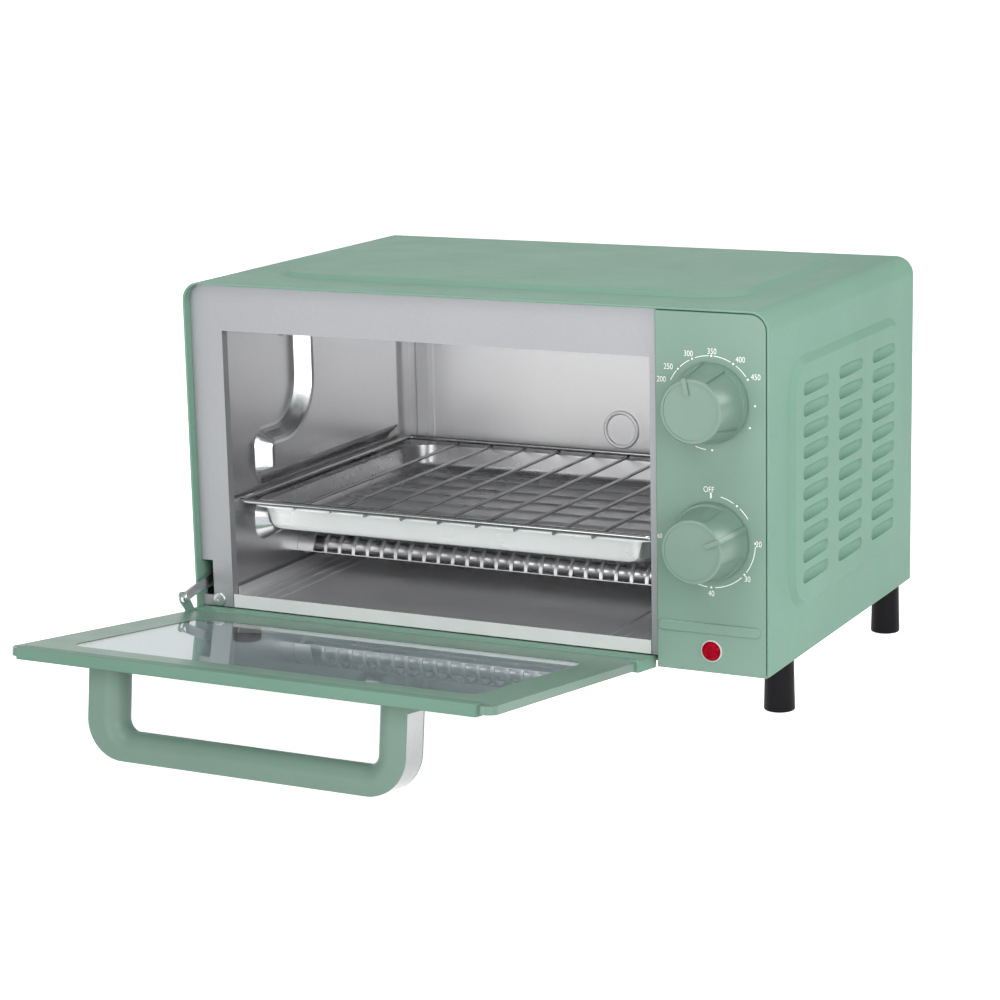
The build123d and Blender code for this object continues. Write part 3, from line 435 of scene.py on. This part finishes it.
def number(text, x, z, size):
    curve = bpy.data.curves.new("dial_" + text, "FONT")
    curve.body = text
    curve.size = size
    curve.align_x = "CENTER"
    curve.align_y = "CENTER"
    curve.resolution_u = 6
    source = bpy.data.objects.new("source", curve)
    scene.collection.objects.link(source)
    bpy.context.view_layer.update()
    graph = bpy.context.evaluated_depsgraph_get()
    mesh = bpy.data.meshes.new_from_object(source.evaluated_get(graph))
    bpy.data.objects.remove(source)
    verts = [(x + v.co.x * LETTER_NARROW, PRINT_Y, z + v.co.y) for v in mesh.vertices]
    return verts, [tuple(p.vertices) for p in mesh.polygons]


verts, faces = [], []
for angle in UP_DOTS:
    dot(verts, faces, CENTRE_UP, angle)
for start, end in UP_ARCS:
    arc(verts, faces, CENTRE_UP, start, end)
tick(verts, faces, CENTRE_DOWN, DOWN_TICK)
for angle in DOWN_DOTS:
    dot(verts, faces, CENTRE_DOWN, angle)
for start, end in DOWN_ARCS:
    arc(verts, faces, CENTRE_DOWN, start, end)
add_mesh("dial_marks", verts, faces, "oven", "panel_ink")

verts, faces = [], []
for label in LABELS:
    part_verts, part_faces = number(*label)
    base = len(verts)
    verts.extend(part_verts)
    faces.extend(tuple(i + base for i in face) for face in part_faces)
add_mesh("dial_numbers", verts, faces, "oven", "panel_ink")


# Floor and background

FLOOR_HALF = 12.0
FLOOR_TONE = 0.8
# Strength looked at straight, in a reflection and through glass
FLOOR_SEEN = (0.85, 1.0, 0.1)
WORLD_SEEN = (1.0, 0.36, 0.9)
WORLD_LIGHT = 0.25


def seen(tree, straight, mirrored, through):
    path = tree.nodes.new("ShaderNodeLightPath").outputs
    parts = (("Is Camera Ray", straight), ("Is Glossy Ray", mirrored), ("Is Transmission Ray", through))
    first, second, third = [link_math(tree, "MULTIPLY", path[kind], level) for kind, level in parts]
    return link_math(tree, "MAXIMUM", first, link_math(tree, "MAXIMUM", second, third))


def floor_material():
    mat = bpy.data.materials.new("floor_white")
    mat.use_nodes = True
    tree = mat.node_tree
    tree.nodes.clear()
    out = tree.nodes.new("ShaderNodeOutputMaterial")
    diffuse = tree.nodes.new("ShaderNodeBsdfDiffuse")
    diffuse.inputs["Color"].default_value = (FLOOR_TONE, FLOOR_TONE, FLOOR_TONE, 1)
    glow = tree.nodes.new("ShaderNodeEmission")
    tree.links.new(seen(tree, *FLOOR_SEEN), glow.inputs["Strength"])
    both = tree.nodes.new("ShaderNodeAddShader")
    tree.links.new(diffuse.outputs["BSDF"], both.inputs[0])
    tree.links.new(glow.outputs["Emission"], both.inputs[1])
    tree.links.new(both.outputs["Shader"], out.inputs["Surface"])
    return mat


floor_mesh = bpy.data.meshes.new("floor")
floor_mesh.from_pydata([(-FLOOR_HALF, -FLOOR_HALF, 0), (FLOOR_HALF, -FLOOR_HALF, 0),
                        (FLOOR_HALF, FLOOR_HALF, 0), (-FLOOR_HALF, FLOOR_HALF, 0)],
                       [], [(0, 1, 2, 3)])
floor = bpy.data.objects.new("floor", floor_mesh)
scene.collection.objects.link(floor)
floor_mesh.materials.append(floor_material())

world = bpy.data.worlds.new("studio")
scene.world = world
world.use_nodes = True
tree = world.node_tree
tree.nodes.clear()
out = tree.nodes.new("ShaderNodeOutputWorld")
back = tree.nodes.new("ShaderNodeBackground")
back.inputs["Color"].default_value = (1, 1, 1, 1)
tree.links.new(link_math(tree, "MAXIMUM", seen(tree, *WORLD_SEEN), WORLD_LIGHT), back.inputs["Strength"])
tree.links.new(back.outputs["Background"], out.inputs["Surface"])


# Studio light: name, place, target, width and height in metres, watts

SOFTBOXES = (
    ("key_right", (1.1, -0.85, 0.55), (0.05, 0.0, 0.1), (1.2, 1.0), 13.5),
    ("front_left", (-0.3, -1.7, 0.35), (-0.03, 0.1, 0.1), (1.1, 0.7), 8),
    ("overhead", (0, 0.1, 1.9), (0, 0.08, 0.1), (1.6, 1.4), 7.5),
    ("front_top", (0.0, -0.9, 1.3), (0.0, 0.0, 0.2), (0.7, 0.5), 7),
    ("back_left", (-1.0, 1.3, 0.4), (-0.1, 0, 0.1), (1.4, 0.8), 2.5),
    ("strip_right", (1.16, 0.9, 0.75), (0.12, 0, 0.12), (0.4, 0.8), 6),
)
for name, place, target, (width, height), power in SOFTBOXES:
    light = bpy.data.lights.new(name, "AREA")
    light.shape = "RECTANGLE"
    light.size = width
    light.size_y = height
    light.energy = power
    obj = bpy.data.objects.new(name, light)
    scene.collection.objects.link(obj)
    obj.location = place
    obj.rotation_euler = (Vector(target) - Vector(place)).to_track_quat("-Z", "Y").to_euler()


# Camera

CAM_PLACE = (0.6402, -1.2284, 0.4036)
YAW = math.radians(26.24)
PITCH = math.radians(12.29)
ROLL = math.radians(-1.07)
LENS = 97.83
SENSOR = 36
SHIFT_X, SHIFT_Y = -0.0442, -0.0069
forward = Vector((-math.sin(YAW) * math.cos(PITCH), math.cos(YAW) * math.cos(PITCH), -math.sin(PITCH)))
right = Vector((math.cos(YAW), math.sin(YAW), 0))
up = right.cross(forward)
cam_x = math.cos(ROLL) * right + math.sin(ROLL) * up
cam_y = -math.sin(ROLL) * right + math.cos(ROLL) * up
cam_data = bpy.data.cameras.new("camera")
cam_data.sensor_width = SENSOR
cam_data.sensor_fit = "HORIZONTAL"
cam_data.lens = LENS
cam_data.shift_x = SHIFT_X
cam_data.shift_y = SHIFT_Y
camera = bpy.data.objects.new("camera", cam_data)
scene.collection.objects.link(camera)
turn = Matrix((cam_x, cam_y, -forward)).transposed().to_4x4()
camera.matrix_world = Matrix.Translation(CAM_PLACE) @ turn
scene.camera = camera
